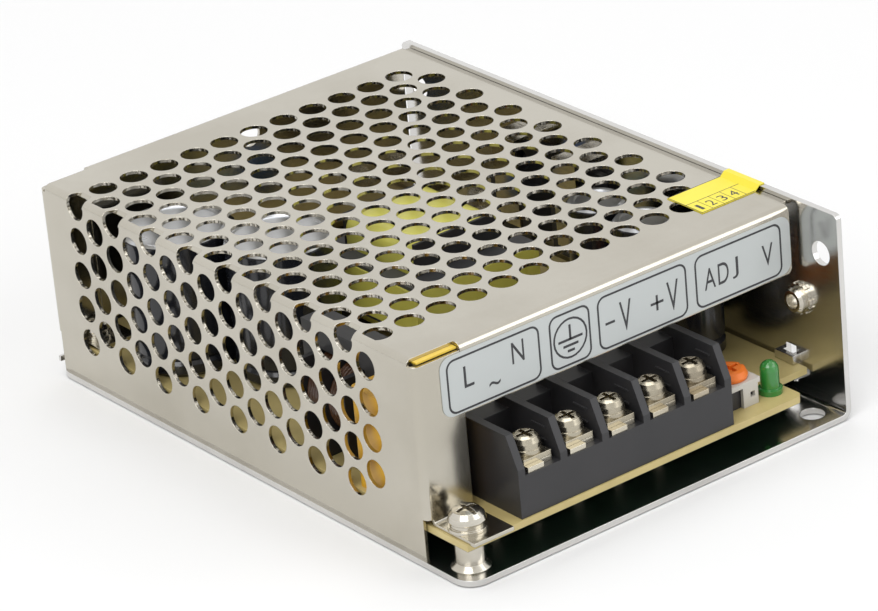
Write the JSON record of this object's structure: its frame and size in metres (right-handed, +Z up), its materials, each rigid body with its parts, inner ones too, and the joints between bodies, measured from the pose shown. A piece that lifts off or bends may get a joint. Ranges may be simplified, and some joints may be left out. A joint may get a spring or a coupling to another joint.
{
  "type": "enclosed switching power supply",
  "caption": "Enclosed switching power supply: a folded mesh cover on an L-shaped sheet chassis, with a circuit board, a screw terminal strip, a trimmer and a lamp in an open front bay.",
  "frame": {"origin": "centre of the footprint on the underside of the chassis floor", "axes": "+Z up from the underside, -Y out of the open terminal bay, +X through the solid chassis wall"},
  "size_m": [0.078, 0.111, 0.0358],
  "materials": {
    "chassis_sheet": "bright sheet, almost a mirror, with light smears",
    "cover_sheet": "plain rolled sheet with a satin sheen",
    "label_film": "satin film with thin dark outlines",
    "sticker_film": "glossy paper sticker",
    "insulation_film": "thin yellow film",
    "insulation_card": "thin card",
    "plated_steel": "bright zinc or nickel plating",
    "board_laminate": "tan laminate with a satin face",
    "black_plastic": "black moulded plastic",
    "plated_brass": "tinned brass",
    "pale_plastic": "pale moulded plastic",
    "orange_plastic": "orange moulded plastic",
    "lamp_lens": "clear green resin",
    "capacitor_sleeve": "dark shrink sleeve with a bare top",
    "yellow_plastic": "yellow moulded box",
    "ferrite": "dark grey ferrite",
    "copper_wire": "lacquered copper",
    "dark_wire": "dark lacquered copper",
    "yellow_tape": "yellow polyester tape",
    "can_metal": "bare aluminium top, dark sleeve",
    "fuse_glass": "clear glass tube",
    "dipped_ceramic": "green dipped coat",
    "package_plastic": "black moulding compound",
    "blue_ceramic": "blue dipped coat",
    "resistor_lacquer": "pale blue lacquer"
  },
  "bodies": {
    "case": {"base_chassis": "chassis_sheet", "cover": "cover_sheet", "front_label": "label_film", "number_sticker": "sticker_film", "insulation_strip": "insulation_film", "insulation_sheet": "insulation_card", "standoffs": "plated_steel", "board_screws": "plated_steel", "wall_nut": "plated_steel", "circuit_board": "board_laminate", "terminal_block": "black_plastic", "terminal_plates": "plated_brass", "trimmer_body": "black_plastic", "trimmer_rim": "pale_plastic", "indicator_lamp": "lamp_lens", "mains_capacitors": "capacitor_sleeve", "film_capacitor": "yellow_plastic", "choke_core": "ferrite", "choke_windings": "dark_wire", "choke_frame": "black_plastic", "transformer_core": "ferrite", "transformer_bobbin": "black_plastic", "transformer_winding": "yellow_tape", "transformer_tape": "yellow_tape", "output_capacitors": "can_metal", "output_coil_core": "ferrite", "output_coil_winding": "copper_wire", "input_fuse": "fuse_glass", "fuse_clips": "plated_brass", "thermistor": "dipped_ceramic", "bridge_rectifier": "package_plastic", "switch_transistor": "package_plastic", "output_diode": "package_plastic", "package_clips": "plated_steel", "safety_capacitors": "blue_ceramic", "optocoupler": "package_plastic", "control_chip": "package_plastic", "power_resistors": "resistor_lacquer"},
    "clamp_1": {"terminal_clamp_1": "plated_steel"},
    "screw_1": {"terminal_screw_1": "plated_steel"},
    "clamp_2": {"terminal_clamp_2": "plated_steel"},
    "screw_2": {"terminal_screw_2": "plated_steel"},
    "clamp_3": {"terminal_clamp_3": "plated_steel"},
    "screw_3": {"terminal_screw_3": "plated_steel"},
    "clamp_4": {"terminal_clamp_4": "plated_steel"},
    "screw_4": {"terminal_screw_4": "plated_steel"},
    "clamp_5": {"terminal_clamp_5": "plated_steel"},
    "screw_5": {"terminal_screw_5": "plated_steel"},
    "rotor": {"trimmer_rotor": "orange_plastic"}
  },
  "joints": [
    {"name": "clamp_lift_1", "type": "slide", "parent": "case", "child": "clamp_1", "axis": [0, 0, 1], "range_m": [0, 0.003]},
    {"name": "screw_turn_1", "type": "hinge", "parent": "clamp_1", "child": "screw_1", "pos_m": [-0.02187, -0.0498, 0.0156], "axis": [0, 0, 1], "range_deg": [0, 2160]},
    {"name": "clamp_lift_2", "type": "slide", "parent": "case", "child": "clamp_2", "axis": [0, 0, 1], "range_m": [0, 0.003]},
    {"name": "screw_turn_2", "type": "hinge", "parent": "clamp_2", "child": "screw_2", "pos_m": [-0.01358, -0.0498, 0.0156], "axis": [0, 0, 1], "range_deg": [0, 2160]},
    {"name": "clamp_lift_3", "type": "slide", "parent": "case", "child": "clamp_3", "axis": [0, 0, 1], "range_m": [0, 0.003]},
    {"name": "screw_turn_3", "type": "hinge", "parent": "clamp_3", "child": "screw_3", "pos_m": [-0.00528, -0.0498, 0.0156], "axis": [0, 0, 1], "range_deg": [0, 2160]},
    {"name": "clamp_lift_4", "type": "slide", "parent": "case", "child": "clamp_4", "axis": [0, 0, 1], "range_m": [0, 0.003]},
    {"name": "screw_turn_4", "type": "hinge", "parent": "clamp_4", "child": "screw_4", "pos_m": [0.00302, -0.0498, 0.0156], "axis": [0, 0, 1], "range_deg": [0, 2160]},
    {"name": "clamp_lift_5", "type": "slide", "parent": "case", "child": "clamp_5", "axis": [0, 0, 1], "range_m": [0, 0.003]},
    {"name": "screw_turn_5", "type": "hinge", "parent": "clamp_5", "child": "screw_5", "pos_m": [0.01132, -0.0498, 0.0156], "axis": [0, 0, 1], "range_deg": [0, 2160]},
    {"name": "trimmer_turn", "type": "hinge", "parent": "case", "child": "rotor", "pos_m": [0.02105, -0.0474, 0.0112], "axis": [0, 0, 1], "range_deg": [-125, 125]}
  ],
  "couplings": [
    {"joint": "screw_turn_1", "follows": "clamp_lift_1", "rad_per_m": 12566},
    {"joint": "screw_turn_2", "follows": "clamp_lift_2", "rad_per_m": 12566},
    {"joint": "screw_turn_3", "follows": "clamp_lift_3", "rad_per_m": 12566},
    {"joint": "screw_turn_4", "follows": "clamp_lift_4", "rad_per_m": 12566},
    {"joint": "screw_turn_5", "follows": "clamp_lift_5", "rad_per_m": 12566}
  ]
}
